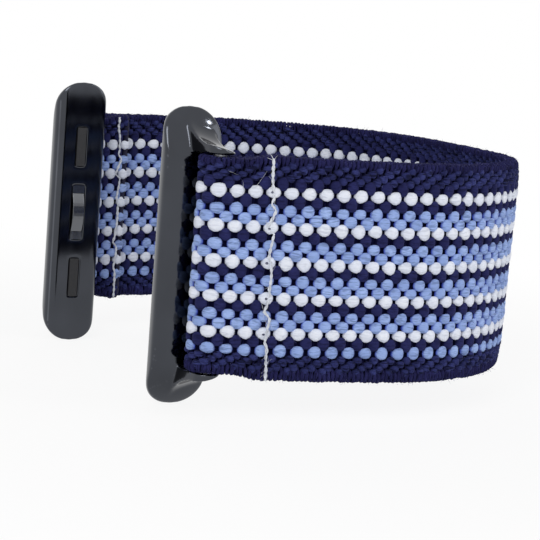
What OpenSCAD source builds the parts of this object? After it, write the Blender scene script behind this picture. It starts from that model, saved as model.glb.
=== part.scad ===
// Elastic woven band: one stretch webbing loop on two slide-in metal adapters.
// Stands on its edge. X runs from the adapters to the far bend, Y across the
// loop and Z along the width of the webbing. The loop is a run of tangent arcs.

/* [Webbing] */
// Width of the webbing
strap_w = 25; // [20:0.5:27]
// Thickness of one layer of webbing
strap_t = 1.75; // [1.4:0.05:2]
// Angle at which each leg leaves its bar, outwards from the X axis
flare = 16.75; // [10:0.25:22]
// Mid-surface radius of each leg
leg_r = 87.3; // [70:1:120]
// Length of each leg's arc, from the bar
leg_len = 21.2; // [18:0.2:26]
// Mid-surface radius of the two round shoulders
shoulder_r = 22.3; // [18:0.1:26]
// Mid-surface radius of the far side
back_r = 79; // [60:1:120]

/* [Sewn ends] */
// Distance from the bar to the stitch line, along the webbing
stitch_at = 5.7; // [5:0.1:7]
// Webbing left beyond the stitch line
tail_over = 1.6; // [1:0.1:2.5]
// Radius of the tail where it turns back to lie flat
tail_turn_r = 3; // [2.2:0.1:4]
// Gap between the two sewn layers
layer_gap = 0.02; // [0.01:0.01:0.05]
// Thickness of the sewing thread
thread_d = 0.45; // [0.3:0.05:0.6]
// Height of one zigzag stitch
stitch_pitch = 1.95; // [1.5:0.05:2.5]
// Sideways reach of the zigzag
stitch_sway = 0.3; // [0.2:0.05:0.6]
// Bare webbing beyond the last stitch at each edge
stitch_margin = 0.8; // [0.5:0.1:2]

/* [Rubber cores] */
// Side of each square rubber core
core_d = 0.6; // [0.3:0.05:0.7]
// Spacing of the rubber cores
core_pitch = 2.9; // [1.5:0.1:4]
// Webbing outside the channel that holds the cores
core_margin = 1.4; // [1.2:0.1:3]
// Clearance between the cores and the webbing
core_gap = 0.03; // [0.01:0.01:0.06]

/* [Adapters] */
// Distance over the outer faces of the two rails
rail_span = 43.2; // [40:0.2:46]
// Length of a rail
rail_len = 34; // [33:0.2:34.2]
// Width of a rail
rail_w = 6.8; // [6.4:0.1:7]
// Depth of a rail
rail_d = 3; // [2.8:0.1:3.2]
// Radius along the rail's edges
rail_edge_r = 1.2; // [0.8:0.05:1.3]
// Radius that the outer face is crowned to, across the rail
rail_crown_r = 14; // [12:0.5:30]
// Radius of the rail's ends, as seen from outside
rail_tip_r = 3.1; // [2:0.1:3.2]
// Straight middle of the rail's outer face
rail_flat = 19.6; // [19:0.2:20]
// Radius that rounds the outer face off towards the rail's ends
rail_end_r = 11; // [10.8:0.1:12]
// Distance of the bar behind the rail's middle
bar_back = 1.8; // [1.6:0.1:2.2]
// Distance of the bar outside the rail's outer face
bar_out = 2.8; // [2.7:0.1:3.2]
// Diameter of the strap bar
bar_d = 1.5; // [1.3:0.05:1.6]
// Thickness of an arm at the bar
arm_t = 0.7; // [0.6:0.05:0.9]
// Slope of the arm's outer face down to its tip, in degrees
arm_slope = 15; // [0:1:18]
// Radius of the arm round the bar
arm_r = 1.6; // [1.4:0.05:1.8]
// How far an arm's root stands out of the rail's outer face
root_out = 0.4; // [0.2:0.05:0.6]
// Radius of the hollow between an arm and the rail's end
cove_r = 5.5; // [3:0.1:6]
// How far each edge of the webbing is drawn in round the bar
fold_in = 0.45; // [0.3:0.05:0.6]
// Distance from the bar's axis that the webbing is drawn in
fold_reach = 3.3; // [3.2:0.1:3.6]
// Gap between the webbing's drawn-in edge and an arm
arm_gap = 0.15; // [0.1:0.05:0.3]
// Running clearance between the webbing and the bar
bar_gap = 0.05; // [0.02:0.01:0.1]

/* [Latch] */
// Length of the latch's nose
nose_len = 5; // [4:0.1:6]
// Width of the latch's nose
nose_w = 1.5; // [1.2:0.05:1.6]
// How far the nose stands out of the rail
nose_out = 0.6; // [0.4:0.05:0.8]
// Thickness of the latch's foot
foot_t = 0.4; // [0.3:0.05:0.5]
// How far the foot reaches past the nose at each end
foot_reach = 1; // [0.7:0.05:1.2]
// Travel of the latch
latch_travel = 0.7; // [0.4:0.05:0.75]
// Thickness of the two keepers
keeper_t = 0.35; // [0.25:0.05:0.4]
// Room for the spring behind the pressed latch
spring_room = 0.45; // [0.3:0.05:0.5]
// Sliding clearance of the latch
latch_gap = 0.05; // [0.03:0.01:0.08]
// Thickness of the leaf spring
spring_t = 0.12; // [0.08:0.01:0.15]

/* [Damper pads] */
// Length of a pad
pad_len = 5; // [3:0.1:6]
// Width of a pad
pad_w = 1.2; // [0.8:0.05:1.4]
// Depth of a pad's pocket
pad_deep = 0.6; // [0.4:0.05:0.8]
// How far a pad stands out of the rail
pad_out = 0.15; // [0.1:0.05:0.25]
// Distance of each pad from the rail's middle
pad_at = 8.6; // [8:0.1:9.5]

/* [Hidden] */
$fn = 64;

// Height of the loop's middle line, half the rail's length above the ground
mid_z = rail_len / 2;

// Radius of the webbing's mid-surface where it folds round the bar
fold_r = bar_d / 2 + bar_gap + strap_t / 2;

// The front half of the loop, as headings in degrees at the ends of its arcs
head0 = -flare;
head1 = head0 + leg_len / leg_r * 180 / PI;
bar_y = rail_span / 2 + bar_out;
start_y = -bar_y - fold_r * cos(head0);
head2 = acos((-start_y - leg_r * (cos(head0) - cos(head1)) - shoulder_r * cos(head1))
  / (back_r - shoulder_r));

// Reach of the loop beyond the bar, on its mid-surface
leg_reach = leg_r * (sin(head1) - sin(head0));
shoulder_reach = shoulder_r * (sin(head2) - sin(head1));
back_reach = back_r * (1 - sin(head2));
start_dx = fold_r * sin(head0);
loop_reach = start_dx + leg_reach + shoulder_reach + back_reach + strap_t / 2;

// The origin is at the middle of the outline, so the rail's middle is at rail_x
rail_x = -(bar_back + loop_reach - rail_w / 2) / 2;
bar_x = rail_x + bar_back;

// Start points and arc centres of the front half
leg_start = [bar_x + start_dx, start_y];
leg_c = leg_start + leg_r * [-sin(head0), cos(head0)];
leg_end = leg_c + leg_r * [sin(head1), -cos(head1)];
shoulder_c = leg_end + shoulder_r * [-sin(head1), cos(head1)];
shoulder_end = shoulder_c + shoulder_r * [sin(head2), -cos(head2)];
back_c = shoulder_end + back_r * [-sin(head2), cos(head2)];

// The tail lies inside the leg. It leaves the fold at fold_end, turns back round
// turn_c and then runs alongside the leg on the radius lay_r.
deg_per_leg = 180 / PI / leg_r;
sewn_len = stitch_at + tail_over;
lay_r = leg_r - strap_t - layer_gap;
bar_c = [bar_x, -bar_y];
fold_to_turn = fold_r + tail_turn_r;
bar_to_leg_c = norm(leg_c - bar_c);
turn_to_leg_c = lay_r - tail_turn_r;
fold_corner = acos((pow(fold_to_turn, 2) + pow(bar_to_leg_c, 2) - pow(turn_to_leg_c, 2))
  / (2 * fold_to_turn * bar_to_leg_c));
to_leg_c = atan2(leg_c[1] - bar_c[1], leg_c[0] - bar_c[0]);
fold_end = to_leg_c - fold_corner;
turn_c = bar_c + fold_to_turn * [cos(fold_end), sin(fold_end)];
lay_start = atan2(turn_c[1] - leg_c[1], turn_c[0] - leg_c[0]);
fold_start = head0 - 90;
sewn_end = fold_start + sewn_len * deg_per_leg;
leg_end_angle = head1 - 90;
shoulder_end_angle = head2 - 90;

// Longest and widest flat on an arc, and how far the channel is cut past its ends
flat_len = 1.4;
flat_deg = 12;
cut_past = 0.1;

core_count = floor((strap_w - 2 * core_margin - core_d - 2 * core_gap) / core_pitch) + 1;
core_z = [for (i = [0 : core_count - 1]) (i - (core_count - 1) / 2) * core_pitch];

stitch_count = floor((strap_w - 2 * stitch_margin) / stitch_pitch);
stitch_turn = stitch_sway * deg_per_leg;
stitch_angle = fold_start + stitch_at * deg_per_leg;

rail_in = rail_span / 2 - rail_d;
pocket_in = rail_in + rail_edge_r
  - sqrt(pow(rail_edge_r, 2) - pow(max(0, nose_w / 2 + latch_gap - rail_w / 2 + rail_edge_r), 2));
pocket_w = nose_w + 2 * latch_gap;
pocket_len = nose_len + 2 * foot_reach + 2 * latch_gap;
foot_in = pocket_in + keeper_t + latch_gap;
foot_out = foot_in + foot_t;
pocket_floor = foot_out + latch_travel + spring_room;
keeper_len = foot_reach;
spring_len = nose_len + foot_reach;
spring_rise = pocket_floor - foot_out - 2 * latch_gap;
spring_r = (pow(spring_len / 2, 2) + pow(spring_rise, 2)) / (2 * spring_rise);

arm_in = strap_w / 2 - fold_in + arm_gap;
arm_out = arm_in + arm_t;
bar_end = arm_out - bar_d / 2 * tan(arm_slope);
arm_root = [(rail_x + bar_x) / 2, -rail_span / 2 + arm_r - root_out];

// An arc of the strip is [centre, mid-surface radius, start angle, end angle, side].
// Its side is 1 where the strip's outer face is the one away from the centre, else -1.
leg_arcs = [[leg_c, leg_r, sewn_end, leg_end_angle, 1]];
bend_arcs = [
  [shoulder_c, shoulder_r, leg_end_angle, shoulder_end_angle, 1],
  [back_c, back_r, shoulder_end_angle, -shoulder_end_angle, 1],
  [[shoulder_c[0], -shoulder_c[1]], shoulder_r, -shoulder_end_angle, -leg_end_angle, 1]
];
sewn_arcs = [
  [leg_c, leg_r, sewn_end, fold_start, 1],
  [bar_c, fold_r, 360 + fold_start, fold_end, 1],
  [turn_c, tail_turn_r, 180 + fold_end, 360 + lay_start, -1],
  [leg_c, lay_r, lay_start, sewn_end, -1]
];
end_arcs = concat([[leg_c, leg_r, leg_end_angle, sewn_end, 1]], sewn_arcs);

// Number of flats on an arc, none longer than flat_len or wider than flat_deg
function flats(arc) = let (sweep = abs(arc[3] - arc[2]))
  ceil(max(sweep / flat_deg, sweep * PI / 180 * arc[1] / flat_len));

// Points along one face of the arcs, at a distance out from the mid-surface
function face_points(arcs, out) = concat(
  [for (arc = arcs, i = [0 : flats(arc) - 1]) face_point(arc, i / flats(arc), out)],
  [face_point(arcs[len(arcs) - 1], 1, out)]
);
function face_point(arc, t, out) = let (a = arc[2] + t * (arc[3] - arc[2]))
  arc[0] + (arc[1] + arc[4] * out) * [cos(a), sin(a)];
function reversed(list) = [for (i = [len(list) - 1 : -1 : 0]) list[i]];

// A line's points, with both ends moved straight on by a distance
function lengthened(points, extra) = let (n = len(points) - 1) [
  for (i = [0 : n])
    i == 0 ? moved_on(points[1], points[0], extra)
    : i == n ? moved_on(points[n - 1], points[n], extra)
    : points[i]
];
function moved_on(before, end, extra) = end + extra * (end - before) / norm(end - before);

// Upright strip of a thickness t and a height h, centred on the loop's middle line
module strip(arcs, t, h, extra = 0) {
  outer = lengthened(face_points(arcs, t / 2), extra);
  inner = lengthened(face_points(arcs, -t / 2), extra);
  translate([0, 0, mid_z - h / 2])
    linear_extrude(h)
      polygon(concat(outer, reversed(inner)));
}

// Webbing, with a flat channel for the cores between its two faces
module webbing(arcs) {
  difference() {
    strip(arcs, strap_t, strap_w);
    strip(arcs, core_d + 2 * core_gap, strap_w - 2 * core_margin, cut_past);
  }
}

// Outer layer, fold and tail, with both edges drawn in round the bar to clear the arms
module sewn_loop() {
  difference() {
    webbing(sewn_arcs);
    for (side = [-1, 1])
      translate([bar_c[0], bar_c[1], mid_z + side * strap_w / 2])
        cylinder(r = fold_reach, h = 2 * fold_in, center = true);
  }
}

// Square rubber cores, side by side in the channel
module cores(arcs) {
  for (z = core_z) translate([0, 0, z]) strip(arcs, core_d, core_d);
}

// A point at a height z and an angle a on the radius r round the leg's centre
function on_leg(r, a, z) = [leg_c[0] + r * cos(a), leg_c[1] + r * sin(a), mid_z + z];

// A straight stitch from a to b, which dives into the webbing short of both holes
module stitch(a, b) {
  d = b - a;
  length = norm(d) - thread_d;
  translate(a + d / norm(d) * thread_d / 2)
    rotate([0, acos(d[2] / norm(d)), atan2(d[1], d[0])])
      cylinder(d = thread_d, h = length);
}

// Zigzag of stitches on the face at the radius r
module zigzag(r) {
  for (i = [0 : stitch_count - 1]) {
    side = i % 2 == 0 ? 1 : -1;
    z0 = (i - stitch_count / 2) * stitch_pitch;
    stitch(on_leg(r, stitch_angle - side * stitch_turn, z0),
      on_leg(r, stitch_angle + side * stitch_turn, z0 + stitch_pitch));
  }
}

// Outline of a bar with a round end about a and another about b
module link(a, ra, b, rb) {
  d = b - a;
  lean = acos((ra - rb) / norm(d));
  dir = atan2(d[1], d[0]);
  translate(a) circle(ra);
  translate(b) circle(rb);
  polygon([
    a + ra * [cos(dir + lean), sin(dir + lean)],
    b + rb * [cos(dir + lean), sin(dir + lean)],
    b + rb * [cos(dir - lean), sin(dir - lean)],
    a + ra * [cos(dir - lean), sin(dir - lean)]
  ]);
}

// Rectangle about the origin, with round corners
module round_box(size, r) {
  square([size[0] - 2 * r, size[1]], center = true);
  square([size[0], size[1] - 2 * r], center = true);
  for (x = [-1, 1], y = [-1, 1])
    translate([x * (size[0] / 2 - r), y * (size[1] / 2 - r)]) circle(r);
}

// Outline across the rail's crowned outer face: x is the distance outwards from the
// axis that the end rounds turn about, and y runs across the rail
module crown() {
  intersection() {
    translate([rail_end_r - rail_crown_r, 0]) circle(rail_crown_r, $fn = 180);
    translate([rail_end_r - 2 * rail_d, -rail_w])
      square([2 * rail_d, 2 * rail_w]);
  }
}

// Block with the rail's whole outer face: the crown runs straight along the middle
// and turns about an axis along X towards each end
module crowned_block() {
  translate([0, rail_end_r - rail_span / 2, 0]) {
    translate([0, 0, -rail_flat / 2])
      linear_extrude(rail_flat)
        rotate(-90) crown();
    for (side = [0, 1])
      mirror([0, 0, side])
        translate([0, 0, rail_flat / 2])
          rotate([0, 90, 0])
            rotate(180)
              rotate_extrude(angle = 90, $fn = 180) crown();
  }
}

// The rail alone
module rail() {
  translate([rail_x, 0, mid_z])
    intersection() {
      crowned_block();
      translate([0, (rail_d - rail_span) / 2, -rail_len / 2])
        linear_extrude(rail_len) round_box([rail_w, rail_d], rail_edge_r);
      translate([0, rail_d - rail_span / 2, 0])
        rotate([90, 0, 0])
          linear_extrude(2 * rail_d) round_box([rail_w, rail_len], rail_tip_r);
    }
}

// One arm above the webbing. A hollow blends it into the rail's rounded end, and the
// hollow and the face beyond it slope down along X to the arm's tip. At the arm's back
// edge the hollow's axis stands cove_r above the arm and the hollow touches the round.
module arm() {
  back_x = arm_root[0] - arm_r;
  back_z = arm_out + (bar_x - back_x) * tan(arm_slope);
  cove_z = back_z + cove_r;
  reach = rail_end_r + cove_r;
  run = sqrt(pow(reach, 2) - pow(cove_z - rail_flat / 2, 2));
  cove_y = -(rail_span / 2 - rail_end_r + run);
  top = cove_z - cove_r * (cove_z - rail_flat / 2) / reach;
  translate([0, 0, mid_z])
    difference() {
      translate([0, 0, arm_in])
        linear_extrude(top - arm_in)
          link(arm_root, arm_r, bar_c, arm_r);
      translate([back_x, cove_y, back_z])
        rotate([0, arm_slope, 0]) {
          translate([0, 0, cove_r])
            rotate([0, 90, 0])
              cylinder(r = cove_r, h = rail_span, center = true);
          translate([-rail_span / 2, -rail_span, 0])
            cube([rail_span, rail_span, cove_r]);
        }
    }
}

// Front adapter: the rail and its two arms, bored for the bar
module adapter_body() {
  difference() {
    union() {
      rail();
      arm();
      translate([0, 0, 2 * mid_z]) mirror([0, 0, 1]) arm();
    }
    translate([bar_c[0], bar_c[1], -1])
      cylinder(d = bar_d, h = rail_len + 2);
    translate([rail_x - pocket_w / 2, -pocket_floor, mid_z - pocket_len / 2])
      cube([pocket_w, rail_d, pocket_len]);
    for (side = [-1, 1])
      translate([rail_x - pad_w / 2, -rail_in - pad_deep, mid_z + side * pad_at - pad_len / 2])
        cube([pad_w, rail_d, pad_len]);
  }
}

// Bar that the webbing folds round, pressed into both arms
module strap_bar() {
  translate([bar_c[0], bar_c[1], mid_z - bar_end])
    cylinder(d = bar_d, h = 2 * bar_end);
}

// Latch: a round-backed nose on a wider foot
module latch() {
  nose_r = (pow(nose_len / 2, 2) + pow(nose_out, 2)) / (2 * nose_out);
  translate([rail_x - nose_w / 2, 0, mid_z]) {
    translate([0, -foot_out, -nose_len / 2 - foot_reach])
      cube([nose_w, foot_t, nose_len + 2 * foot_reach]);
    intersection() {
      translate([0, -foot_in, -nose_len / 2])
        cube([nose_w, foot_in - rail_in + nose_out, nose_len]);
      translate([0, -rail_in + nose_out - nose_r, 0])
        rotate([0, 90, 0])
          cylinder(r = nose_r, h = nose_w, $fn = 180);
    }
  }
}

// Bowed leaf spring between the latch's foot and the pocket's floor
module latch_spring() {
  sweep = 2 * asin(spring_len / 2 / spring_r);
  translate([rail_x, -foot_out - latch_gap - spring_r, mid_z])
    rotate([0, 90, 0])
      rotate([0, 0, 90 - sweep / 2])
        rotate_extrude(angle = sweep, $fn = 180)
          translate([spring_r - spring_t, -nose_w / 2 + latch_gap])
            square([spring_t, nose_w - 2 * latch_gap]);
}

// Two keepers that hold the foot in
module latch_keepers() {
  for (side = [-1, 1])
    translate([rail_x - pocket_w / 2, -pocket_in - keeper_t,
      mid_z + side * (pocket_len - keeper_len) / 2 - keeper_len / 2])
      cube([pocket_w, keeper_t, keeper_len]);
}

// Two soft pads that take up play in the slot
module damper_pads() {
  for (side = [-1, 1])
    translate([rail_x - pad_w / 2, -rail_in - pad_deep, mid_z + side * pad_at - pad_len / 2])
      cube([pad_w, pad_deep + pad_out, pad_len]);
}

// Zigzag on the outer face and on the tail
module stitching() {
  zigzag(leg_r + strap_t / 2);
  zigzag(lay_r - strap_t / 2);
}

// The rear half mirrors the front half
module rear() mirror([0, 1, 0]) children();

color("midnightblue") webbing(bend_arcs);  // webbing_bend
color("dimgray") cores(bend_arcs);  // bend_elastic_cores
color("midnightblue") webbing(leg_arcs);  // front_webbing_leg
color("midnightblue") rear() webbing(leg_arcs);  // rear_webbing_leg
color("midnightblue") sewn_loop();  // front_sewn_loop
color("midnightblue") rear() sewn_loop();  // rear_sewn_loop
color("dimgray") cores(end_arcs);  // front_elastic_cores
color("dimgray") rear() cores(end_arcs);  // rear_elastic_cores
color("white") stitching();  // front_stitching
color("white") rear() stitching();  // rear_stitching
color("#3c3c40") adapter_body();  // front_adapter_body
color("#3c3c40") rear() adapter_body();  // rear_adapter_body
color("silver") strap_bar();  // front_strap_bar
color("silver") rear() strap_bar();  // rear_strap_bar
color("gray") latch();  // front_latch
color("gray") rear() latch();  // rear_latch
color("silver") latch_spring();  // front_latch_spring
color("silver") rear() latch_spring();  // rear_latch_spring
color("gray") latch_keepers();  // front_latch_keepers
color("gray") rear() latch_keepers();  // rear_latch_keepers
color("black") damper_pads();  // front_damper_pads
color("black") rear() damper_pads();  // rear_damper_pads
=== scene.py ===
"""Looks of the elastic woven band: its weave, thread and metal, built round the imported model.

Lengths are millimetres until a mesh is made. A place on the webbing has three coordinates:
s runs along its middle surface from the front bar, w is the height above its middle line
and n is the distance out of the middle surface.
"""

import math
from typing import NamedTuple

import bpy
import numpy as np
from mathutils import Matrix, Vector

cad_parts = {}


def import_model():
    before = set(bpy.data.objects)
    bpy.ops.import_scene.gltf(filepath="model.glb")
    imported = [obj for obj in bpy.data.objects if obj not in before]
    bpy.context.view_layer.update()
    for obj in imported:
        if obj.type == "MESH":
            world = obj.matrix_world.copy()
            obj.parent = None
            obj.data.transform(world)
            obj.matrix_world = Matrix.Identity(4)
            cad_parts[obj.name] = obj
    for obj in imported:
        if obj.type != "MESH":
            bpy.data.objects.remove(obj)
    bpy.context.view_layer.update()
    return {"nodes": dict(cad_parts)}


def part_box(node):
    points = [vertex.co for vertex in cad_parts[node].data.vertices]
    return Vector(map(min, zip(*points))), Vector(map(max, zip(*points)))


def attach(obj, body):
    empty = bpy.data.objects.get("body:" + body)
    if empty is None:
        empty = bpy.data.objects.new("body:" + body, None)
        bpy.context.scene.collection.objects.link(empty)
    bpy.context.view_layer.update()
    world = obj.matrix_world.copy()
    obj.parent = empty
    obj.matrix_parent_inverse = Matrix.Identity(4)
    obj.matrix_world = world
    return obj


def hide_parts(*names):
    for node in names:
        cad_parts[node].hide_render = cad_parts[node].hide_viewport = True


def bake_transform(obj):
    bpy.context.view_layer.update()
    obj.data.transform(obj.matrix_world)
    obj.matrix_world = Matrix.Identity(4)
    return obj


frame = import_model()
MM = 0.001

# Loop of the webbing, as in the part's source
STRAP_T = 1.75
FLARE = 16.75
LEG_R = 87.3
LEG_LEN = 21.2
SHOULDER_R = 22.3
BACK_R = 79.0
BAR_GAP = 0.05
TAIL_TURN_R = 3.0
LAYER_GAP = 0.02
STITCH_AT = 5.7
TAIL_OVER = 1.6

# Weave: columns run across the webbing and rows along it
COLUMN_0 = 5.85
COLUMN_PITCH = 1.0
ROW_0 = 8.52
ROW_PITCH = 0.98
TOP_NAVY_ROWS = (-1,)
NAVY_ROWS = (1, 5, 9, 13, 17)
BLUE_UPPER_ROWS = (2, 6, 10, 14, 18)
BLUE_LOWER_ROWS = (3, 7, 11, 15)
WHITE_ROWS = (0, 4, 8, 12, 16)
# Rows of the two borders, each as its height and the column of one of its floats
TOP_TWILL = ((10.15, -0.2), (10.60, 0.45), (11.10, 1.15), (11.60, 1.85))
BOTTOM_TWILL = ((-9.95, 1.2), (-10.42, 0.5), (-10.90, -0.2), (-11.35, -0.9))
PICK_PITCH = 0.5
EDGE_W = 12.62

# Drawing in of the webbing's edges round each bar
FOLD_IN = 0.48
FOLD_FROM = 9.0
FOLD_OVER = 3.2
FOLD_REACH = 3.3
FOLD_EASE = 2.6

# Leaning and curling of the webbing at the far bend
BEND_REACH = 20.0
CURL = 1.0
CURL_FROM = 8.5
CURL_OVER = 4.0
LEAN = 0.04

# Camera of the photograph
CAMERA_AT = (-99.908, -215.684, 46.074)
CAMERA_LENS = 125.98
CAMERA_YAW = 24.428
CAMERA_PITCH = 8.041
CAMERA_ROLL = 4.421


def box_mm(node):
    """Lowest and highest corners of a CAD node, in millimetres."""
    low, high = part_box(node)
    return np.array(low) / MM, np.array(high) / MM


bar_low, bar_high = box_mm("front_strap_bar")
bend_low, bend_high = box_mm("webbing_bend")
BAR = (bar_low + bar_high)[:2] / 2
BAR_R = (bar_high - bar_low)[0] / 2
MID_Z = (bend_low + bend_high)[2] / 2


# Camera

def make_camera():
    """The photograph's camera, turned by yaw about Z, then down by pitch, then by roll."""
    yaw, pitch, roll = (math.radians(a) for a in (CAMERA_YAW, CAMERA_PITCH, CAMERA_ROLL))
    ahead = Vector((math.sin(yaw) * math.cos(pitch), math.cos(yaw) * math.cos(pitch), -math.sin(pitch)))
    level = Vector((math.cos(yaw), -math.sin(yaw), 0))
    upright = level.cross(ahead)
    right = math.cos(roll) * level + math.sin(roll) * upright
    up = math.cos(roll) * upright - math.sin(roll) * level
    camera = bpy.data.objects.new("camera", bpy.data.cameras.new("camera"))
    bpy.context.scene.collection.objects.link(camera)
    turned = Matrix((right, up, -ahead)).transposed().to_4x4()
    camera.matrix_world = Matrix.Translation(Vector(CAMERA_AT) * MM) @ turned
    camera.data.lens = CAMERA_LENS
    camera.data.sensor_width = 36
    camera.data.clip_start = 0.01
    bpy.context.scene.camera = camera


make_camera()


# The strip's middle surface, as arcs in the order of travel from the front tail to the rear tail

def heading(degrees):
    """Unit vector at an angle in degrees."""
    a = np.radians(degrees)
    return np.array((np.cos(a), np.sin(a)))


def loop_arcs():
    """[centre, radius, start angle, end angle] of each arc, and the length before the front bar."""
    fold_r = BAR_R + BAR_GAP + STRAP_T / 2
    head_0 = -FLARE
    head_1 = head_0 + math.degrees(LEG_LEN / LEG_R)
    start = BAR + fold_r * heading(head_0 - 90)
    flat_0 = math.cos(math.radians(head_0))
    flat_1 = math.cos(math.radians(head_1))
    head_2 = math.degrees(math.acos(
        (-start[1] - LEG_R * (flat_0 - flat_1) - SHOULDER_R * flat_1) / (BACK_R - SHOULDER_R)))
    leg_c = start - LEG_R * heading(head_0 - 90)
    shoulder_c = leg_c + (LEG_R - SHOULDER_R) * heading(head_1 - 90)
    back_c = shoulder_c + (SHOULDER_R - BACK_R) * heading(head_2 - 90)

    lay_r = LEG_R - STRAP_T - LAYER_GAP
    to_turn = fold_r + TAIL_TURN_R
    to_leg = np.linalg.norm(leg_c - BAR)
    corner = math.degrees(math.acos(
        (to_turn ** 2 + to_leg ** 2 - (lay_r - TAIL_TURN_R) ** 2) / (2 * to_turn * to_leg)))
    fold_end = math.degrees(math.atan2(*(leg_c - BAR)[::-1])) - corner
    turn_c = BAR + to_turn * heading(fold_end)
    lay_start = math.degrees(math.atan2(*(turn_c - leg_c)[::-1]))
    sewn_end = head_0 - 90 + math.degrees((STITCH_AT + TAIL_OVER) / LEG_R)

    tail = [
        [leg_c, lay_r, sewn_end, lay_start],
        [turn_c, TAIL_TURN_R, 360 + lay_start, 180 + fold_end],
        [BAR, fold_r, fold_end, 270 + head_0],
    ]
    half = [
        [leg_c, LEG_R, head_0 - 90, head_1 - 90],
        [shoulder_c, SHOULDER_R, head_1 - 90, head_2 - 90],
        [back_c, BACK_R, head_2 - 90, 0.0],
    ]
    front = tail + half
    rear = [[c * (1, -1), r, -end, -start] for c, r, start, end in reversed(front)]
    before = sum(r * abs(math.radians(end - start)) for c, r, start, end in tail)
    return front + rear, before


ARCS, TAIL_LEN = loop_arcs()
ARC_CENTRE = np.array([arc[0] for arc in ARCS])
ARC_R = np.array([arc[1] for arc in ARCS])
ARC_FROM = np.radians([arc[2] for arc in ARCS])
ARC_SWEEP = np.radians([arc[3] - arc[2] for arc in ARCS])
ARC_ENDS = np.cumsum(ARC_R * np.abs(ARC_SWEEP)) - TAIL_LEN
ARC_STARTS = ARC_ENDS - ARC_R * np.abs(ARC_SWEEP)
S_START = ARC_STARTS[0]
S_END = ARC_ENDS[-1]
S_MIDDLE = (S_START + S_END) / 2


def on_strip(s, w, n):
    """Places in space, in millimetres, of strip coordinates given as arrays."""
    s, w, n = np.broadcast_arrays(s, w, n)
    i = np.clip(np.searchsorted(ARC_ENDS, s), 0, len(ARCS) - 1)
    turn = np.sign(ARC_SWEEP[i])
    a = ARC_FROM[i] + turn * (s - ARC_STARTS[i]) / ARC_R[i]
    near_bend = np.exp(-((s - S_MIDDLE) / BEND_REACH) ** 2)
    edge = np.clip((np.abs(w) - CURL_FROM) / CURL_OVER, 0, 1) ** 2
    out = n + near_bend * (LEAN * w - CURL * edge)
    r = ARC_R[i] + turn * out
    x = ARC_CENTRE[i, 0] + r * np.cos(a)
    y = ARC_CENTRE[i, 1] + r * np.sin(a)
    ease = np.clip((np.hypot(x - BAR[0], np.abs(y) - abs(BAR[1])) - FOLD_REACH) / FOLD_EASE, 0, 1)
    fold = FOLD_IN * (1 - ease * ease * (3 - 2 * ease))
    drawn = np.clip((np.abs(w) - FOLD_FROM) / FOLD_OVER, 0, 1)
    return np.stack((x, y, MID_Z + w - np.sign(w) * fold * drawn), -1)


# Meshes gathered tube by tube

# In the map for baked textures, the tubes fill this share of the height and a row of discs, one
# for each cap, the rest. The half sizes are shares of a disc's place in that row.
TUBES_SHARE = 0.97
DISC_HALF_X = 0.45
DISC_HALF_Y = 0.4


class Tubes:
    """One piece's tubes. Each ring is a row of points, and rise sets how much of its material's painted
    shade colour each point shows; on yarns it is how far out each point is.
    """

    def __init__(self):
        self.points = []
        self.rise = []
        self.quads = []
        self.caps = []
        self.count = 0

    def add(self, points, rise, closed=False):
        """Adds a tube from an array of rings by sides by 3, with flat ends unless it is closed."""
        rings, sides = points.shape[:2]
        at = self.count + np.arange(rings * sides).reshape(rings, sides)
        here = at if closed else at[:-1]
        there = np.roll(at, -1, 0) if closed else at[1:]
        quads = (here, np.roll(here, -1, 1), np.roll(there, -1, 1), there)
        self.quads.append(np.stack(quads, -1))
        if not closed:
            self.caps += [at[0][::-1], at[-1]]
        self.points.append(points.reshape(-1, 3))
        self.rise.append(np.broadcast_to(rise, (rings, sides)).reshape(-1))
        self.count += rings * sides

    def unrolled(self):
        """A map for baked textures: each tube is unrolled and cut into stretches that stack up."""
        stretch = math.ceil(math.sqrt(sum(quads[..., 0].size for quads in self.quads)))
        corner = np.array(((0, 0), (0, 1), (1, 1), (1, 0)), float)
        places = []
        level = 0
        for quads in self.quads:
            rings, sides = quads.shape[:2]
            ring, side = np.meshgrid(np.arange(rings), np.arange(sides), indexing="ij")
            at = np.stack((ring % stretch, level + ring // stretch * sides + side), -1)
            places.append((at[:, :, None] + corner).reshape(-1, 2))
            level += math.ceil(rings / stretch) * sides
        spread = np.concatenate(places) / (stretch, level) * (1, TUBES_SHARE)
        across = max(len(self.caps), 1)
        for i, cap in enumerate(self.caps):
            a = np.arange(len(cap)) * 2 * np.pi / len(cap)
            middle = np.array(((i + 0.5) / across, (1 + TUBES_SHARE) / 2))
            half = (DISC_HALF_X / across, DISC_HALF_Y * (1 - TUBES_SHARE))
            disc = np.stack((np.cos(a), np.sin(a)), -1) * half
            spread = np.concatenate((spread, middle + disc))
        return spread

    def build(self, name, material):
        """Makes the piece's object, in metres."""
        points = np.concatenate(self.points) * MM
        quads = np.concatenate([quads.reshape(-1, 4) for quads in self.quads])
        corners = np.concatenate([quads.reshape(-1), *self.caps])
        sizes = np.array([4] * len(quads) + [len(cap) for cap in self.caps])
        mesh = bpy.data.meshes.new(name)
        mesh.vertices.add(len(points))
        mesh.vertices.foreach_set("co", points.astype(np.float32).ravel())
        mesh.loops.add(len(corners))
        mesh.loops.foreach_set("vertex_index", corners.astype(np.int32))
        mesh.polygons.add(len(sizes))
        mesh.polygons.foreach_set("loop_start", (np.cumsum(sizes) - sizes).astype(np.int32))
        mesh.polygons.foreach_set("use_smooth", np.ones(len(sizes), bool))
        mesh.update(calc_edges=True)
        rise = mesh.attributes.new("rise", "FLOAT", "POINT")
        rise.data.foreach_set("value", np.concatenate(self.rise).astype(np.float32))
        bake_map = mesh.uv_layers.new(name="OFBake")
        bake_map.data.foreach_set("uv", self.unrolled().astype(np.float32).ravel())
        mesh.materials.append(material)
        piece = bpy.data.objects.new(name, mesh)
        bpy.context.scene.collection.objects.link(piece)
        return piece


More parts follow.
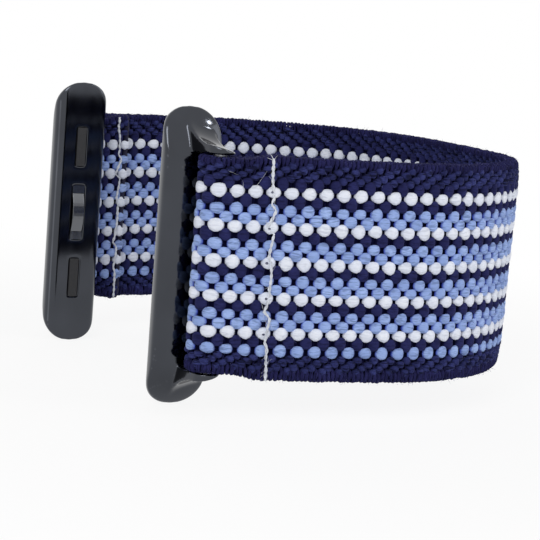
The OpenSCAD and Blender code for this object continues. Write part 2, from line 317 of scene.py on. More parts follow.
# Materials

def new_material(name):
    """A node material, its node tree, its node maker and its Principled node."""
    material = bpy.data.materials.new(name)
    material.use_nodes = True
    tree = material.node_tree
    shader = tree.nodes["Principled BSDF"]

    def node(kind, inputs=(), **settings):
        made = tree.nodes.new(kind)
        for key, value in settings.items():
            setattr(made, key, value)
        for key, value in dict(inputs).items():
            if isinstance(value, bpy.types.NodeSocket):
                tree.links.new(value, made.inputs[key])
            else:
                made.inputs[key].default_value = value
        return made

    return material, tree, node, shader


def stretched(node, scale):
    """Object coordinates scaled along each axis."""
    where = node("ShaderNodeTexCoord").outputs["Object"]
    return node("ShaderNodeMapping", {"Vector": where, "Scale": scale}).outputs["Vector"]


def noise(node, scale, detail=2.0, distortion=0.0):
    """Noise with its own number of lumps a metre along each axis."""
    return node("ShaderNodeTexNoise", {
        "Vector": stretched(node, scale), "Scale": 1.0, "Detail": detail,
        "Distortion": distortion}).outputs["Fac"]


def ranged(node, value, low, high, first=0.0, last=1.0, **settings):
    """Socket that goes from first to last as value goes from low to high, and stays there beyond."""
    return node("ShaderNodeMapRange", {
        "Value": value, "From Min": low, "From Max": high, "To Min": first, "To Max": last},
        **settings).outputs[0]


def blended(node, factor, first, second):
    """Colour that goes from first to second, each a colour or a socket."""
    mix = node("ShaderNodeMix", {"Factor": factor}, data_type="RGBA")
    for key, value in (("A", first), ("B", second)):
        socket = next(i for i in mix.inputs if i.name == key and i.type == "RGBA")
        if isinstance(value, bpy.types.NodeSocket):
            mix.id_data.links.new(value, socket)
        else:
            socket.default_value = value
    return next(o for o in mix.outputs if o.type == "RGBA")


def colour(red, green, blue):
    """Linear colour from the 0 to 255 values that a picture holds."""
    def linear(v):
        v = v / 255
        return v / 12.92 if v <= 0.04045 else ((v + 0.055) / 1.055) ** 2.4
    return (linear(red), linear(green), linear(blue), 1.0)


# Strands to a metre along each axis, in yarns that run along the strip and in those that run across it
ALONG = (700, 700, 4200)
ACROSS = (4600, 4600, 500)
FIBRES_A_STRAND = 2.6
STRAND_TWIST = 0.6
# Painted shade in the creases between strands starts where the strand noise falls below the first level
# and is full at the second
CREASE_SHADE_BELOW = 0.5
CREASE_SHADE_FULL = 0.34
PATCHES_A_METRE = 420
FIBRE_BUMP = 0.5

# Ranges of noise that are spread over 0 to 1
PATCH_RANGE = (0.35, 0.65)
GRAIN_RANGE = (0.3, 0.7)


def yarn_material(name, shade_colour, body, lit, crease_shade=0.8, upright=False, sheen=0.1, shine=0.2,
                  fibre_depth=0.00005, speckle=0.12, shade_to=(0.1, 0.5)):
    """Spun yarn: strands with painted shade in the creases between them, finer fibres, lighter and
    darker lumps, and painted shade in the crevices between yarns.

    Over the range of the rise attribute given last, the painted shade colour of the crevices gives way
    to the others.
    """
    material, tree, node, shader = new_material(name)
    scale = ACROSS if upright else ALONG
    strands = noise(node, scale, 2.0, STRAND_TWIST)
    fibres = noise(node, tuple(FIBRES_A_STRAND * v for v in scale), 2.0)
    patches = noise(node, (PATCHES_A_METRE,) * 3, 2.0)
    lumps = ranged(node, patches, *PATCH_RANGE)
    fine = ranged(node, fibres, *GRAIN_RANGE)
    tint = node("ShaderNodeMath", {0: lumps, 1: fine, 2: speckle}, operation="MULTIPLY_ADD")
    face = blended(node, tint.outputs[0], body, lit)
    # Painted shade in the creases between strands: the body colour, darkened by the crease share, where
    # the strand noise is low
    crease_shade_mask = ranged(node, strands, CREASE_SHADE_BELOW, CREASE_SHADE_FULL)
    crease_shade_tone = tuple(v * crease_shade for v in body[:3]) + (1.0,)
    face = blended(node, crease_shade_mask, face, crease_shade_tone)
    # Painted shade in the crevices between yarns: the first colour shows where the rise attribute is
    # low, where a yarn lies deep
    rise = node("ShaderNodeAttribute", attribute_name="rise").outputs["Fac"]
    level = ranged(node, rise, *shade_to, interpolation_type="SMOOTHSTEP")
    tree.links.new(blended(node, level, shade_colour, face), shader.inputs["Base Color"])
    height = node("ShaderNodeMath", {0: strands, 1: fibres, 2: fibres}, operation="MULTIPLY_ADD")
    bump = node("ShaderNodeBump", {
        "Height": height.outputs[0], "Strength": FIBRE_BUMP, "Distance": fibre_depth})
    tree.links.new(bump.outputs["Normal"], shader.inputs["Normal"])
    shader.inputs["Roughness"].default_value = 0.85
    shader.inputs["Specular IOR Level"].default_value = shine
    shader.inputs["Sheen Weight"].default_value = sheen
    shader.inputs["Sheen Roughness"].default_value = 0.5
    return material


DRAWN_GRAIN = (900, 900, 120)
SMUDGES_A_METRE = 160
WEAR_FROM = 0.55
WEAR_TO = 0.7
WORN_EDGE = colour(104, 107, 114)
SMOOTHEST = 0.8
ROUGHEST = 1.3


def metal_material(name, body, worn, rough, coat=0.0):
    """Polished metal with faint drawn grain, smudges and brighter wear along its edges."""
    material, tree, node, shader = new_material(name)
    lines = noise(node, DRAWN_GRAIN, 4.0)
    smudges = noise(node, (SMUDGES_A_METRE,) * 3, 3.0)
    face = blended(node, smudges, body, worn)
    pointed = node("ShaderNodeNewGeometry").outputs["Pointiness"]
    sharp = ranged(node, pointed, WEAR_FROM, WEAR_TO)
    rubbed = node("ShaderNodeMath", {0: sharp, 1: smudges}, operation="MULTIPLY")
    face = blended(node, rubbed.outputs[0], face, WORN_EDGE)
    finish = ranged(node, lines, *GRAIN_RANGE, rough * SMOOTHEST, rough * ROUGHEST)
    bump = node("ShaderNodeBump", {"Height": lines, "Strength": 0.12, "Distance": 0.00001})
    tree.links.new(face, shader.inputs["Base Color"])
    tree.links.new(finish, shader.inputs["Roughness"])
    tree.links.new(bump.outputs["Normal"], shader.inputs["Normal"])
    shader.inputs["Metallic"].default_value = 1.0
    shader.inputs["Coat Weight"].default_value = coat
    shader.inputs["Coat Roughness"].default_value = 0.08
    return material


def rubber_material(name, body, lit):
    """Moulded rubber with a fine grain."""
    material, tree, node, shader = new_material(name)
    grain = noise(node, (2600, 2600, 2600), 3.0)
    bump = node("ShaderNodeBump", {"Height": grain, "Strength": 0.4, "Distance": 0.00003})
    tree.links.new(blended(node, grain, body, lit), shader.inputs["Base Color"])
    tree.links.new(bump.outputs["Normal"], shader.inputs["Normal"])
    shader.inputs["Roughness"].default_value = 0.6
    return material


# Each yarn material's first colour is the painted shade of its crevices, and its crease share darkens
# its body into painted shade in the creases between strands
SHADE_BLACK_BLUE = colour(6, 6, 18)
NAVY = yarn_material("navy_yarn", SHADE_BLACK_BLUE, colour(34, 36, 78), colour(48, 51, 103),
                     crease_shade=0.7, sheen=0.02, shine=0.08)
BORDER = yarn_material("border_yarn", SHADE_BLACK_BLUE, colour(30, 33, 76), colour(62, 68, 126),
                       crease_shade=0.45, sheen=0.03, shine=0.1, speckle=0.2)
BLUE = yarn_material("blue_yarn", colour(34, 60, 198), colour(141, 165, 221), colour(172, 196, 246),
                     crease_shade=0.68, shade_to=(0.3, 0.74))
WHITE = yarn_material("white_yarn", colour(58, 60, 114), colour(229, 234, 248), colour(243, 246, 253),
                      crease_shade=0.86, fibre_depth=0.00003)
GROUND = yarn_material("ground_yarn", colour(9, 9, 44), colour(26, 26, 62), colour(44, 44, 92),
                       crease_shade=0.6, upright=True, sheen=0.0, shine=0.08, speckle=0.3)
SEALED = yarn_material("melted_end", SHADE_BLACK_BLUE, colour(18, 18, 44), colour(34, 34, 70), shine=0.5)
FUZZ = yarn_material("loose_fibre", colour(60, 62, 110), colour(70, 72, 128), colour(110, 114, 170))
THREAD = yarn_material("sewing_thread", colour(160, 162, 174), colour(220, 224, 233),
                       colour(238, 241, 247), crease_shade=0.7, upright=True)
ADAPTER = metal_material("adapter_metal", colour(54, 56, 61), colour(70, 73, 80), 0.09, coat=0.25)
STEEL = metal_material("bright_steel", colour(176, 178, 182), colour(196, 198, 202), 0.25)
LATCH = metal_material("latch_metal", colour(96, 98, 102), colour(112, 114, 118), 0.25)
RUBBER = rubber_material("pad_rubber", colour(28, 28, 30), colour(40, 40, 43))


# Weave

HALF_T = STRAP_T / 2
RINGS_A_COLUMN = 8
YARN_SIDES = 12
END_MARGIN = 0.02

# How much one float differs from the next: share of its height and of its lift, move of its
# tallest place, and distance that it is moved along and across the strip
HEIGHT_VARIES = 0.07
LIFT_VARIES = 0.05
LEAN_VARIES = 0.15
PLACE_VARIES = 0.045
ROW_VARIES = 0.03
MOST_VARIED = 2.2

# Share of half a column over which a float closes at its ends
CLOSES_OVER = 0.2

# Powers that make a yarn's section a little squarer than round, across the strip and out of it
SQUARE_ACROSS = 0.85
SQUARE_OUT = 0.9


class Float(NamedTuple):
    """Half sizes of a yarn in the middle of a float and at a dive, and the float's outline."""
    height: float
    thick: float
    dive_height: float
    dive_thick: float
    meander: float
    lift: float
    top: tuple
    bottom: tuple
    full: float = 0.65
    lean: float = 0.0
    reach: float = 0.66


# meander is how far each dive leans back under its float, and lift how far the float's middle
# stands out. top and bottom bound how blunt the two edges are: 1 comes to a point, 3 is blunt.
# full is lower for fuller outlines, lean moves the tallest place along the float, and reach
# is where the outline has closed.
WHITE_FLOAT = Float(0.74, 0.335, 0.3, 0.26, 0.25, 0.56, (2.0, 3.4), (1.15, 1.9), 0.65, 0.05)
UPPER_BLUE_FLOAT = Float(0.67, 0.32, 0.42, 0.23, 0.2, 0.54, (1.3, 2.5), (1.6, 2.6), 0.65, 0.15, 0.56)
LOWER_BLUE_FLOAT = Float(0.66, 0.32, 0.42, 0.23, 0.2, 0.54, (1.8, 2.8), (1.6, 2.6), 0.65, 0.1, 0.57)
NAVY_FLOAT = Float(0.74, 0.33, 0.3, 0.24, 0.1, 0.50, (2.0, 3.0), (2.0, 3.0), 0.6)
TOP_NAVY_FLOAT = NAVY_FLOAT._replace(meander=0.07)
TWILL_FLOAT = Float(0.43, 0.36, 0.18, 0.18, -0.07, 0.52, (1.8, 2.8), (1.8, 2.8), 0.6, 0.0, 0.44)


def yarn(tubes, w, phase, seed, kind, jitter=1.0):
    """One warp yarn, over a pair of picks and under the next. phase is the column of one outer float.

    turn counts columns, so that whole even numbers are the middles of the outer floats and whole
    odd numbers are those of the inner ones.
    """
    first = (S_START - COLUMN_0) / COLUMN_PITCH
    last = (S_END - COLUMN_0) / COLUMN_PITCH
    turn = np.arange(first, last, 1 / RINGS_A_COLUMN) - phase
    middle = np.round(turn)
    from_middle = turn - middle
    held = np.cos(np.pi * from_middle) ** 2
    here = (middle - middle.min()).astype(int)
    draw = np.random.default_rng(seed)
    wander = np.clip(draw.normal(0, jitter, (6, here.max() + 1)), -MOST_VARIED, MOST_VARIED)[:, here]
    blunt = draw.uniform(0, 1, (2, here.max() + 1))[:, here]
    ahead = from_middle + kind.meander * np.sin(2 * np.pi * from_middle)

    place = ahead / kind.reach
    fade = np.clip((0.5 - np.abs(from_middle)) / CLOSES_OVER, 0, 1)
    fade = fade * fade * (3 - 2 * fade)

    def edge(blunt_range, share, skew):
        """Half height from one edge's outline."""
        power = blunt_range[0] + (blunt_range[1] - blunt_range[0]) * share
        off = np.where(place > skew, (place - skew) / (1 - skew), (skew - place) / (1 + skew))
        outline = (1 - np.clip(off, 0, 1) ** power) ** kind.full
        full = kind.height * (1 + HEIGHT_VARIES * wander[0])
        return kind.dive_height + (full - kind.dive_height) * outline * fade

    above = edge(kind.top, blunt[0], kind.lean + LEAN_VARIES * wander[1])
    below = edge(kind.bottom, blunt[1], kind.lean + LEAN_VARIES * wander[2])
    thick = kind.dive_thick + (kind.thick - kind.dive_thick) * np.sqrt(held)
    s = COLUMN_0 + COLUMN_PITCH * (phase + middle + ahead) + PLACE_VARIES * wander[3] * held
    s = np.clip(s, S_START + END_MARGIN, S_END - END_MARGIN)
    n = kind.lift * np.cos(np.pi * turn) * (1 + LIFT_VARIES * wander[4] * held)
    mid_w = w + ROW_VARIES * wander[5] * held
    along = np.stack((np.gradient(s), np.gradient(n)))
    along /= np.maximum(np.linalg.norm(along, axis=0), 1e-9)

    a = np.arange(YARN_SIDES) * 2 * np.pi / YARN_SIDES
    up = np.sign(np.cos(a)) * np.abs(np.cos(a)) ** SQUARE_ACROSS
    out = np.sign(np.sin(a)) * np.abs(np.sin(a)) ** SQUARE_OUT
    side_w = np.where(up > 0, above[:, None], below[:, None]) * up
    side_q = thick[:, None] * out
    ring_s = s[:, None] - along[1][:, None] * side_q
    ring_n = n[:, None] + along[0][:, None] * side_q
    # How far out each point lies sets how much painted crevice shade it shows
    tubes.add(on_strip(ring_s, mid_w[:, None] + side_w, ring_n), np.abs(ring_n) / HALF_T)


ROW_SEED = 100
TOP_BORDER_SEED = 300
BOTTOM_BORDER_SEED = 400


def dotted_rows(name, rows, material, kind):
    """Rows of round floats, alternately on the outer and the inner face."""
    tubes = Tubes()
    for k in rows:
        yarn(tubes, ROW_0 - ROW_PITCH * k, k % 2, ROW_SEED + k, kind)
    return tubes.build(name, material)


def twill_border(name, rows, seed):
    """Navy border: short floats that step along the strip from row to row."""
    tubes = Tubes()
    for i, (w, phase) in enumerate(rows):
        yarn(tubes, w, phase, seed + i, TWILL_FLOAT, jitter=1.3)
    return tubes.build(name, BORDER)


webbing_pieces = [
    dotted_rows("webbing_white_yarns", WHITE_ROWS, WHITE, WHITE_FLOAT),
    dotted_rows("webbing_upper_blue_yarns", BLUE_UPPER_ROWS, BLUE, UPPER_BLUE_FLOAT),
    dotted_rows("webbing_lower_blue_yarns", BLUE_LOWER_ROWS, BLUE, LOWER_BLUE_FLOAT),
    dotted_rows("webbing_navy_yarns", NAVY_ROWS, NAVY, NAVY_FLOAT),
    dotted_rows("webbing_top_navy_yarn", TOP_NAVY_ROWS, NAVY, TOP_NAVY_FLOAT),
    twill_border("webbing_top_border", TOP_TWILL, TOP_BORDER_SEED),
    twill_border("webbing_bottom_border", BOTTOM_TWILL, BOTTOM_BORDER_SEED),
]


# Weft: heights where the picks come out over the border yarns, above and below, and the half
# sizes of the rib that each makes there. Inside, they are thinner and lie deeper, up to a
# distance before each turn. A power makes the turns squarer than round.
RIB_TOP = 12.0
RIB_BOTTOM = 11.6
RIB_R = 0.25
RIB_OUT = 0.62
RIB_SIZE_VARIES = 0.12
RIB_SHIFTS = 0.05
RIB_FALLS_SHORT = 0.05
PICK_R = 0.14
PICK_OUT = 0.2
PICK_SIDES = 7
BEFORE_TURN = 0.7
SQUARE_TURN = 0.6

# The weft is painted in shade up to this height from the middle line, where it lies between the faces,
# and less so over the distance beyond it
GROUND_SHADED_TO = 9.3
GROUND_SHADE_FADES_OVER = 3.0


def selvedge(start, turns):
    """Heights and distances out of a pick's turn round one edge, squarish in section."""
    t = np.linspace(0, np.pi, turns)
    w = start + (EDGE_W - RIB_R - start) * np.sin(t) ** SQUARE_TURN
    return w, RIB_OUT * np.sign(np.cos(t)) * np.abs(np.cos(t)) ** SQUARE_TURN


def ground():
    """Weft picks, each turning round both edges and showing as ribs there."""
    tubes = Tubes()
    inner = np.linspace(BEFORE_TURN - RIB_BOTTOM, RIB_TOP - BEFORE_TURN, 7)
    top_w, top_n = selvedge(RIB_TOP, 9)
    low_w, low_n = selvedge(RIB_BOTTOM, 11)
    w = np.concatenate((inner, top_w, inner[::-1], -low_w))
    n = np.concatenate((PICK_OUT + 0 * inner, top_n, -PICK_OUT + 0 * inner, -low_n))
    radius = np.concatenate((
        PICK_R + 0 * inner, RIB_R + 0 * top_w, PICK_R + 0 * inner, RIB_R + 0 * low_w))
    along = np.stack((np.roll(w, -1) - np.roll(w, 1), np.roll(n, -1) - np.roll(n, 1)))
    along /= np.linalg.norm(along, axis=0)
    side = np.arange(PICK_SIDES) * 2 * np.pi / PICK_SIDES
    draw = np.random.default_rng(7)
    for s in np.arange(S_START + PICK_PITCH, S_END - PICK_PITCH / 2, PICK_PITCH):
        size = radius * (1 + RIB_SIZE_VARIES * np.clip(draw.normal(0, 1, len(w)), -2.5, 1.2))
        shift = RIB_SHIFTS * draw.normal(0, 1, len(w))
        short = RIB_FALLS_SHORT * abs(draw.normal())
        reach = w - np.sign(w) * (np.abs(w) > RIB_BOTTOM) * short
        ring_s = s + shift[:, None] + size[:, None] * np.cos(side)
        ring_w = reach[:, None] + along[1][:, None] * size[:, None] * np.sin(side)
        ring_n = n[:, None] - along[0][:, None] * size[:, None] * np.sin(side)
        # Painted shade on the picks between the faces, fading towards the ribs at the edges
        rise = (np.abs(ring_w) - GROUND_SHADED_TO) / GROUND_SHADE_FADES_OVER
        tubes.add(on_strip(ring_s, ring_w, ring_n), rise, closed=True)
    return tubes.build("webbing_weft", GROUND)


# Half thickness of the ribbon between the faces, and how far its edges and ends stay in
RIBBON_HALF_T = 0.1
RIBBON_EDGE_IN = 0.7
RIBBON_END_IN = 0.1


def core_ribbon():
    """Thin ribbon between the weave's two faces, in place of the elastic cores, coloured all over in
    the weft's painted shade colour.
    """
    half_w = EDGE_W - RIBBON_EDGE_IN
    s = np.linspace(S_START + RIBBON_END_IN, S_END - RIBBON_END_IN, 340)[:, None]
    across = np.linspace(-half_w, half_w, 13)
    w = np.concatenate((across, across[::-1]))
    n = np.concatenate((RIBBON_HALF_T + 0 * across, -RIBBON_HALF_T + 0 * across))
    tubes = Tubes()
    # A rise of 0 paints the ribbon wholly in painted shade
    tubes.add(on_strip(s, w, n), 0.0)
    return tubes.build("webbing_core", GROUND)


# Melted bead: half sizes along the strip and out of it, how lumpy it is, how far it stays in
# from the strip's end and edges, and the power that keeps it full up to those edges
BEAD_S = 0.34
BEAD_S_VARIES = 0.05
BEAD_N = 0.80
BEAD_N_VARIES = 0.04
BEAD_SIDES = 10
BEAD_END_IN = 0.2
BEAD_EDGE_IN = 0.15
BEAD_FULLNESS = 24


def sealed_ends():
    """Melted bead that closes the cut end of each tail."""
    tubes = Tubes()
    draw = np.random.default_rng(17)
    w = np.linspace(BEAD_EDGE_IN - EDGE_W, EDGE_W - BEAD_EDGE_IN, 90)
    ends = np.sqrt(np.clip(1 - (np.abs(w) / EDGE_W) ** BEAD_FULLNESS, 0.05, 1))
    a = np.arange(BEAD_SIDES) * 2 * np.pi / BEAD_SIDES
    for middle in (S_START + BEAD_END_IN, S_END - BEAD_END_IN):
        lumps = draw.normal(0, 1, (2, len(w)))
        half_s = (BEAD_S + BEAD_S_VARIES * lumps[0]) * ends
        half_n = (BEAD_N + BEAD_N_VARIES * lumps[1]) * ends
        ring_s = middle + half_s[:, None] * np.cos(a)
        ring_n = half_n[:, None] * np.sin(a)
        tubes.add(on_strip(ring_s, w[:, None], ring_n), 1.0)
    return tubes.build("webbing_sealed_ends", SEALED)


# Share of its width that a fibre loses towards its tip, and the direction that its sideways
# bend is square to
HAIR_TAPER = 0.8
HAIR_ASIDE = (0.3, 0.9, 0.2)


def hair(tubes, start, aim, length, curl, radius, steps=5):
    """Fine tapered fibre in strip coordinates from start towards aim, bent sideways by curl."""
    aim = np.array(aim, float)
    aim /= np.linalg.norm(aim)
    side = np.cross(aim, HAIR_ASIDE)
    side /= np.linalg.norm(side)
    third = np.cross(aim, side)
    t = np.linspace(0, 1, steps)[:, None]
    line = np.array(start) + length * (aim * t + side * curl * t * t)
    a = np.array((0, 2, 4)) * np.pi / 3
    size = radius * (1 - HAIR_TAPER * t)[:, :, None]
    ring = line[:, None] + size * (np.cos(a)[:, None] * side + np.sin(a)[:, None] * third)
    tubes.add(on_strip(*np.moveaxis(ring, -1, 0)), 1.0)


# Loose fibres of each zone: how many, from and to which height, and how far out the farthest
# feet are. A foot's depth is a share of that distance. Fibres of the edges lean outward.
EDGE_FUZZ = (1700, 12.1, EDGE_W, 0.7)
BORDER_FUZZ = (500, 9.6, 12.1, 0.78)
ROW_FUZZ = (160, 0.0, 9.6, 0.85)
FUZZ_LENGTH = (0.15, 0.45)
FUZZ_R = (0.012, 0.026)
FUZZ_CURL = 0.6
FUZZ_DEPTH = (0.7, 1.0)
FUZZ_LIFT = (0.1, 1.0)
EDGE_FUZZ_OUTWARD = 0.4


def fuzz():
    """Loose fibres: most along the two selvedges, some over the borders and a few on the rows."""
    tubes = Tubes()
    draw = np.random.default_rng(23)
    for zone in (EDGE_FUZZ, BORDER_FUZZ, ROW_FUZZ):
        count, low, high, out = zone
        outward = EDGE_FUZZ_OUTWARD if zone is EDGE_FUZZ else 0.0
        for _ in range(count):
            face = draw.choice((-1, 1))
            w = draw.choice((-1, 1)) * draw.uniform(low, high)
            n = face * out * draw.uniform(*FUZZ_DEPTH)
            aim = (draw.normal(), draw.normal() + outward * np.sign(w), face * draw.uniform(*FUZZ_LIFT))
            foot = (draw.uniform(S_START + 1, S_END - 1), w, n)
            length = draw.uniform(*FUZZ_LENGTH)
            curl = draw.normal(0, FUZZ_CURL)
            hair(tubes, foot, aim, length, curl, draw.uniform(*FUZZ_R))
    return tubes.build("webbing_fuzz", FUZZ)


# Fibres laid one by one: foot and aim in strip coordinates, length, curl, radius and rings
STRAY_FIBRES = (
    ((0.7, 10.9, 0.86), (1.0, -0.35, 0.06), 1.1, 0.15, 0.022, 9),
    ((3.6, 8.95, 0.88), (0.68, 0.95, 0.06), 2.6, -0.12, 0.024, 11),
    ((2.35, 8.9, 0.9), (0.15, 1.0, 0.05), 1.1, -0.6, 0.022, 9),
)
THREAD_ENDS = (
    ((5.45, 12.2, 0.8), (-0.5, 0.75, 0.1), 0.8, 0.3, 0.06, 7),
    ((5.4, 12.1, 0.9), (-1.0, 0.45, 0.2), 0.9, -0.3, 0.05, 7),
    ((5.5, 12.0, 0.85), (0.3, 1.0, 0.1), 0.7, 0.2, 0.05, 7),
)


def stray_fibres():
    """The three long pale fibres caught in the upper border by the front stitching."""
    tubes = Tubes()
    for fibre in STRAY_FIBRES:
        hair(tubes, *fibre)
    return tubes.build("webbing_stray_fibres", THREAD)


webbing_pieces += [ground(), core_ribbon(), sealed_ends(), fuzz(), stray_fibres()]

WEBBING_NODES = (
    "webbing_bend", "bend_elastic_cores", "front_webbing_leg", "rear_webbing_leg",
    "front_sewn_loop", "rear_sewn_loop", "front_elastic_cores", "rear_elastic_cores",
)
for piece in webbing_pieces:
    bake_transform(piece)
    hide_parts(*WEBBING_NODES)


# Sewing thread

# Where the thread runs, as height and distance along the strip, from the top edge down
THREAD_ROUTE = (
    (12.3, 5.42), (10.4, 5.55), (7.9, 5.87), (7.3, 5.70), (6.6, 6.19), (4.6, 5.40), (4.0, 6.15),
    (1.3, 5.75), (0.6, 6.20), (-2.7, 6.10), (-4.7, 5.75), (-5.4, 6.32), (-8.1, 6.00), (-8.8, 6.27),
    (-12.4, 6.42),
)
ROUTE_W, ROUTE_S = np.array(THREAD_ROUTE)[::-1].T

# Heights where the needle went through, and how deep and over how much the thread dips there
NEEDLE_W = (11.2, 8.5, 4.6, 0.7, -3.2, -7.1, -10.6)
DIP = 0.16
DIP_OVER = 0.22

# How far the thread strays along the strip and out of it, and how its width varies
THREAD_STRAYS = 0.05
THREAD_RISES = 0.02
THREAD_WIDTHS = (0.75, 1.2)

# Two-ply thread: length of one twist, radius of a ply, and how far each ply is from the middle
THREAD_LAY = 1.4
PLY_R = 0.098
PLY_ALONG = 0.085
PLY_OUT = 0.05
PLY_SIDES = 6
THREAD_ABOVE_FACE = 0.05
THREAD_ABOVE_TAIL = 0.04


def stitch_thread(mirror):
    """Two-ply thread across the webbing, on its outer face and on the tail's inner side."""
    tubes = Tubes()
    draw = np.random.default_rng(31)
    w = np.linspace(ROUTE_W[0], ROUTE_W[-1], 260)
    knots = np.linspace(w[0], w[-1], 30)
    outer_n = HALF_T + THREAD_ABOVE_FACE
    inner_n = -HALF_T - LAYER_GAP - STRAP_T - THREAD_ABOVE_TAIL
    side = np.arange(PLY_SIDES) * 2 * np.pi / PLY_SIDES
    for face_n, outward in ((outer_n, 1), (inner_n, -1)):
        sway = np.interp(w, knots, draw.normal(0, THREAD_STRAYS, len(knots)))
        rise = np.interp(w, knots, draw.normal(0, THREAD_RISES, len(knots)))
        width = np.interp(w, knots, draw.uniform(*THREAD_WIDTHS, len(knots)))
        dips = sum(np.exp(-((w - at) / DIP_OVER) ** 2) for at in NEEDLE_W)
        middle = np.interp(w, ROUTE_W, ROUTE_S) + sway
        ply_r = (PLY_R * width)[:, None]
        for ply in (0, 1):
            twist = w * 2 * np.pi / THREAD_LAY + ply * np.pi
            s = middle + PLY_ALONG * width * np.cos(twist)
            n = face_n + outward * (rise - DIP * dips) + PLY_OUT * np.sin(twist)
            ring_s = s[:, None] + ply_r * np.cos(side)
            ring_n = n[:, None] + ply_r * np.sin(side)
            tubes.add(on_strip(ring_s, w[:, None], ring_n) * (1, mirror, 1), 1.0)
    return tubes


FILAMENTS = 70
FILAMENT_REACH = 12
FILAMENT_BESIDE = 0.08
FILAMENT_ABOVE_FACE = 0.08
FILAMENT_LENGTH = (0.4, 1.1)
FILAMENT_CURL = 0.25
FILAMENT_R = 0.025


def thread_wisps(tubes, mirror):
    """Loose ends of the thread at the top edge, and broken filaments along it."""
    draw = np.random.default_rng(37)
    made = Tubes()
    for fibre in THREAD_ENDS:
        hair(made, *fibre)
    for _ in range(FILAMENTS):
        w = draw.uniform(-FILAMENT_REACH, FILAMENT_REACH)
        s = np.interp(w, ROUTE_W, ROUTE_S) + draw.normal(0, FILAMENT_BESIDE)
        aim = (draw.normal(0, 0.5), draw.choice((-1, 1)), 0.15 * draw.uniform())
        length = draw.uniform(*FILAMENT_LENGTH)
        curl = draw.normal(0, FILAMENT_CURL)
        hair(made, (s, w, HALF_T + FILAMENT_ABOVE_FACE), aim, length, curl, FILAMENT_R)
    for points in made.points:
        tubes.add(points.reshape(-1, 3, 3) * (1, mirror, 1), 1.0)


# Needle holes: how far beside the thread they are, ranges of their half sizes along and across
# the strip, and half sizes of their rims along, across and out of it
HOLE_BESIDE = 0.12
HOLE_S = (0.07, 0.12)
HOLE_W = (0.05, 0.09)
RIM_S = 0.06
RIM_W = 0.05
RIM_N = 0.04
HOLE_SIDES = 8
RIM_SIDES = 5


def needle_holes(end, mirror):
    """Rims of the holes that the needle left beside the thread, dark partly for the navy yarn inside
    and partly as the painted shade of the holes.
    """
    tubes = Tubes()
    draw = np.random.default_rng(41)
    around = np.arange(HOLE_SIDES) * 2 * np.pi / HOLE_SIDES
    side = np.arange(RIM_SIDES) * 2 * np.pi / RIM_SIDES
    for at in NEEDLE_W[1:-1]:
        s = COLUMN_0 + draw.normal(0, 0.1) - HOLE_BESIDE
        w = at + draw.uniform(-0.15, 0.15)
        wide = draw.uniform(*HOLE_S)
        tall = draw.uniform(*HOLE_W)
        ring_s = s + (wide + RIM_S * np.cos(side)) * np.cos(around)[:, None]
        ring_w = w + (tall + RIM_W * np.cos(side)) * np.sin(around)[:, None]
        ring_n = HALF_T + 0.01 + RIM_N * np.sin(side) + 0 * around[:, None]
        tubes.add(on_strip(ring_s, ring_w, ring_n) * (1, mirror, 1), 1.0, closed=True)
    piece = tubes.build(f"{end}_needle_holes", GROUND)
    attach(piece, "strap_ends")


for end, mirror in (("front", 1), ("rear", -1)):
    tubes = stitch_thread(mirror)
    thread_wisps(tubes, mirror)
    piece = tubes.build(f"{end}_stitch_thread", THREAD)
    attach(piece, "strap_ends")
    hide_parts(f"{end}_stitching")
    needle_holes(end, mirror)


# Metal and rubber

# Voxel size and smoothing passes of the polished copies: the adapters' and the small parts'
ADAPTER_VOXEL = 0.1
ADAPTER_PASSES = 40
SMALL_VOXEL = 0.05
SMALL_PASSES = 3


def polished_copy(name, body, voxel, passes, material):
    """Copy of a CAD node whose edges are rounded by remeshing and smoothing, which replaces it."""
    mesh = frame["nodes"][name].data.copy()
    piece = bpy.data.objects.new(f"{name}_polished", mesh)
    bpy.context.scene.collection.objects.link(piece)
    remesh = piece.modifiers.new("remesh", "REMESH")
    remesh.mode = "VOXEL"
    remesh.voxel_size = voxel * MM
    smooth = piece.modifiers.new("smooth", "SMOOTH")
    smooth.factor = 0.5
    smooth.iterations = passes
    bpy.context.view_layer.update()
    shown = piece.evaluated_get(bpy.context.evaluated_depsgraph_get())
    final = bpy.data.meshes.new_from_object(shown)
    piece.modifiers.clear()
    piece.data = final
    bpy.data.meshes.remove(mesh)
    final.materials.clear()
    final.materials.append(material)
    final.polygons.foreach_set("use_smooth", np.ones(len(final.polygons), bool))
    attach(piece, body)
    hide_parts(name)


def shortening_spring(end):
    """Copy of a latch's spring, in steel, which replaces it."""
    name = f"{end}_latch_spring"
    piece = bpy.data.objects.new(f"{name}_shown", frame["nodes"][name].data.copy())
    bpy.context.scene.collection.objects.link(piece)
    piece.data.materials.clear()
    piece.data.materials.append(STEEL)
    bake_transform(piece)
    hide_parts(name)


def finish_node(name, material):
    """Gives a CAD node that stays its material."""
    node = frame["nodes"][name]
    node.data.materials.clear()
    node.data.materials.append(material)


for end in ("front", "rear"):
    adapter = f"{end}_adapter"
    nose = f"{end}_latch_nose"
    polished_copy(f"{end}_adapter_body", adapter, ADAPTER_VOXEL, ADAPTER_PASSES, ADAPTER)
    polished_copy(f"{end}_latch", nose, SMALL_VOXEL, SMALL_PASSES, LATCH)
    polished_copy(f"{end}_damper_pads", adapter, SMALL_VOXEL, SMALL_PASSES, RUBBER)
    finish_node(f"{end}_strap_bar", STEEL)
    shortening_spring(end)
    finish_node(f"{end}_latch_keepers", LATCH)


# Studio

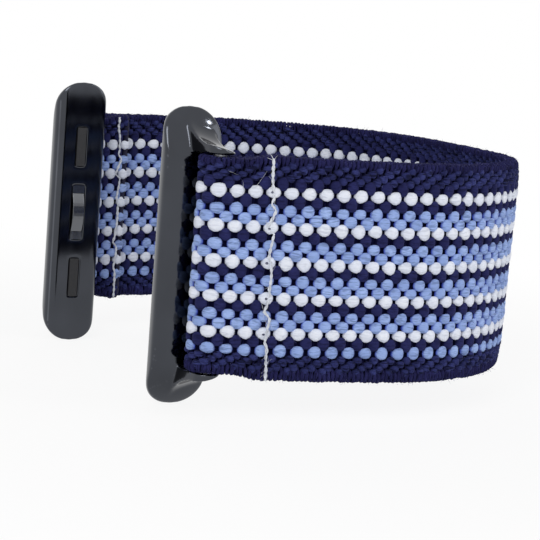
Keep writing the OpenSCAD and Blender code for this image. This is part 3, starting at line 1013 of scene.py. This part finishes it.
def seen_by_eye(tree):
    """Socket that is 1 on camera, glossy and transmission rays, for a background that stays white."""
    path = tree.nodes.new("ShaderNodeLightPath")
    seen = path.outputs["Is Camera Ray"]
    for ray in ("Is Glossy Ray", "Is Transmission Ray"):
        either = tree.nodes.new("ShaderNodeMath")
        either.operation = "MAXIMUM"
        tree.links.new(seen, either.inputs[0])
        tree.links.new(path.outputs[ray], either.inputs[1])
        seen = either.outputs[0]
    return seen


# Floor: half its width, its share of plain white near the band, and over which distance from
# the band that share grows to 1, in metres
FLOOR_REACH = 3.0
FLOOR_WHITE_NEAR = 0.88
FLOOR_FADE_FROM = 0.05
FLOOR_FADE_TO = 0.13
FLOOR_TONES = ((0.93, 0.93, 0.94, 1), (0.96, 0.96, 0.965, 1))


def floor():
    """A plain pale floor, lit white away from the band and shaded softly under it."""
    mesh = bpy.data.meshes.new("floor")
    r = FLOOR_REACH
    mesh.from_pydata([(-r, -r, 0), (r, -r, 0), (r, r, 0), (-r, r, 0)], [], [(0, 1, 2, 3)])
    material, tree, node, shader = new_material("floor")
    face = blended(node, noise(node, (40, 40, 40)), *FLOOR_TONES)
    tree.links.new(face, shader.inputs["Base Color"])
    shader.inputs["Roughness"].default_value = 0.9
    where = node("ShaderNodeTexCoord").outputs["Object"]
    away = node("ShaderNodeVectorMath", {0: where}, operation="LENGTH").outputs["Value"]
    white = ranged(node, away, FLOOR_FADE_FROM, FLOOR_FADE_TO, FLOOR_WHITE_NEAR, 1.0,
                   interpolation_type="SMOOTHSTEP")
    share = node("ShaderNodeMath", {0: white, 1: seen_by_eye(tree)}, operation="MULTIPLY")
    glow = node("ShaderNodeEmission", {"Color": (1, 1, 1, 1), "Strength": 1.0})
    mix = node("ShaderNodeMixShader", {0: share.outputs[0]})
    tree.links.new(shader.outputs[0], mix.inputs[1])
    tree.links.new(glow.outputs[0], mix.inputs[2])
    tree.links.new(mix.outputs[0], tree.nodes["Material Output"].inputs["Surface"])
    mesh.materials.append(material)
    plane = bpy.data.objects.new("floor", mesh)
    bpy.context.scene.collection.objects.link(plane)


WORLD_LIGHT = 0.45


def world():
    """White background to the camera and in reflections, and a softer white for light."""
    made = bpy.data.worlds.new("studio")
    bpy.context.scene.world = made
    made.use_nodes = True
    tree = made.node_tree
    tree.nodes.clear()
    light = tree.nodes.new("ShaderNodeBackground")
    light.inputs["Strength"].default_value = WORLD_LIGHT
    white = tree.nodes.new("ShaderNodeBackground")
    white.inputs["Color"].default_value = (1, 1, 1, 1)
    mix = tree.nodes.new("ShaderNodeMixShader")
    tree.links.new(seen_by_eye(tree), mix.inputs[0])
    tree.links.new(light.outputs[0], mix.inputs[1])
    tree.links.new(white.outputs[0], mix.inputs[2])
    out = tree.nodes.new("ShaderNodeOutputWorld")
    tree.links.new(mix.outputs[0], out.inputs["Surface"])


# Name, place and width in metres, and watts of each lamp
LAMPS = (
    ("key", (-0.3, -0.4, 0.35), 0.3, 1.4),
    ("fill", (0.45, -0.3, 0.25), 0.4, 0.75),
    ("back", (0.1, 0.5, 0.4), 0.4, 0.6),
    ("highlight", (0.216, -0.176, 0.316), 0.022, 0.054),
)


def lamp(name, at, size, power):
    """Square area lamp that faces the middle of the band."""
    light = bpy.data.lights.new(name, "AREA")
    light.size = size
    light.energy = power
    made = bpy.data.objects.new(name, light)
    made.location = at
    towards = Vector((0, 0, MID_Z * MM)) - Vector(at)
    made.rotation_euler = towards.to_track_quat("-Z", "Y").to_euler()
    bpy.context.scene.collection.objects.link(made)


floor()
world()
for settings in LAMPS:
    lamp(*settings)
bpy.context.scene.view_settings.view_transform = "Standard"
